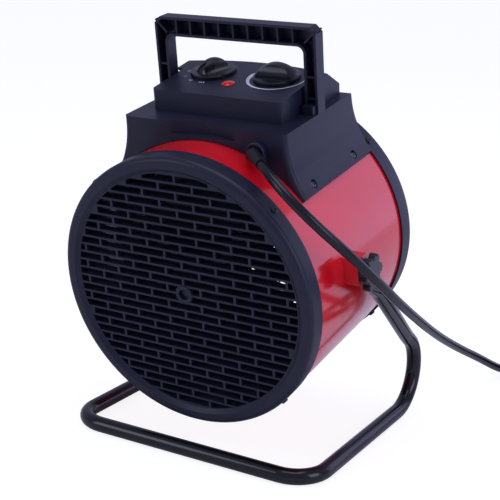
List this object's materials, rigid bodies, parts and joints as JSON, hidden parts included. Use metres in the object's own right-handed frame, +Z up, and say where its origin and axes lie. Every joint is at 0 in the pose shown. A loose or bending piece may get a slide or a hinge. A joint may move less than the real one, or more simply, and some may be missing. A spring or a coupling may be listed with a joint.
{
  "type": "forced air heater",
  "caption": "Round drum fan heater with a brick-slotted intake grille, top control housing, carry handle, tilting tube stand and coiled mains cord.",
  "frame": {"origin": "on the floor, under the middle of the heater and its stand", "axes": "+Z up, +Y towards the hot outlet, -Y towards the intake grille, +X to the right when the intake faces the viewer"},
  "size_m": [0.5026, 0.5356, 0.4284],
  "materials": {
    "black_plastic": "fine moulded texture",
    "knob_plastic": "satin moulded",
    "red_enamel": "glossy baked enamel",
    "black_enamel": "glossy powder coat",
    "zinc_steel": "zinc plated",
    "black_steel": "blackened screws",
    "dark_sheet": "heat darkened sheet",
    "element_steel": "heat darkened sheath",
    "motor_grey": "dull enamel",
    "fan_black": "dull black pressed sheet",
    "guard_wire": "black wire",
    "neon_red": "clear red lens",
    "switch_white": "moulded",
    "cord_rubber": "matt rubber sheath",
    "fibre": "fibre",
    "tie_plastic": "woven strap",
    "pin_metal": "nickel plated"
  },
  "bodies": {
    "stand": {"stand_tube": "black_enamel", "cord_lead": "cord_rubber", "cord_coil": "cord_rubber", "coil_tie": "tie_plastic", "plug_body": "cord_rubber", "plug_pins": "pin_metal"},
    "heater": {"intake_grille": "black_plastic", "drum_shell": "red_enamel", "outlet_ring": "black_plastic", "outlet_guard": "guard_wire", "intake_ring_screws": "black_steel", "outlet_ring_screws": "black_steel", "heat_shield": "dark_sheet", "shield_brackets": "dark_sheet", "motor_bracket": "motor_grey", "fan_motor": "motor_grey", "motor_screws": "zinc_steel", "front_element": "element_steel", "rear_element": "element_steel", "element_brackets": "dark_sheet", "thermal_cutout": "fibre", "control_housing": "black_plastic", "housing_screws": "zinc_steel", "rotary_switch": "switch_white", "thermostat_body": "switch_white", "terminal_block": "switch_white", "neon_lens": "neon_red", "carry_handle": "black_plastic", "handle_screws": "zinc_steel", "pivot_bracket_left": "red_enamel", "pivot_bracket_right": "red_enamel", "pivot_nuts": "zinc_steel", "pivot_washers": "fibre", "cord_gland": "cord_rubber"},
    "fan": {"fan_impeller": "fan_black", "motor_shaft": "zinc_steel", "fan_nut": "zinc_steel"},
    "selector": {"selector_knob": "knob_plastic", "selector_shaft": "zinc_steel"},
    "thermostat": {"thermostat_knob": "knob_plastic", "thermostat_shaft": "zinc_steel"},
    "clamp_left": {"clamp_knob_left": "knob_plastic", "clamp_stud_left": "zinc_steel"},
    "clamp_right": {"clamp_knob_right": "knob_plastic", "clamp_stud_right": "zinc_steel"}
  },
  "joints": [
    {"name": "heater_tilt", "type": "hinge", "parent": "stand", "child": "heater", "pos_m": [0, -0.04235, 0.20303], "axis": [1, 0, 0], "range_deg": [-20, 35], "deforming": ["cord_lead"]},
    {"name": "fan_spin", "type": "hinge", "parent": "heater", "child": "fan", "pos_m": [0, -0.00848, 0.1909], "axis": [0, 0.9844, 0.1761], "continuous": true},
    {"name": "selector_turn", "type": "hinge", "parent": "heater", "child": "selector", "pos_m": [-0.035, -0.01552, 0.37226], "axis": [0, -0.2561, 0.9666], "range_deg": [0, 90]},
    {"name": "thermostat_turn", "type": "hinge", "parent": "heater", "child": "thermostat", "pos_m": [0.037, -0.01455, 0.37251], "axis": [0, -0.2561, 0.9666], "range_deg": [-270, 0]},
    {"name": "clamp_left_turn", "type": "hinge", "parent": "heater", "child": "clamp_left", "pos_m": [0, -0.04235, 0.20303], "axis": [-1, 0, 0], "range_deg": [0, 360]},
    {"name": "clamp_right_turn", "type": "hinge", "parent": "heater", "child": "clamp_right", "pos_m": [0, -0.04235, 0.20303], "axis": [1, 0, 0], "range_deg": [0, 360]}
  ]
}
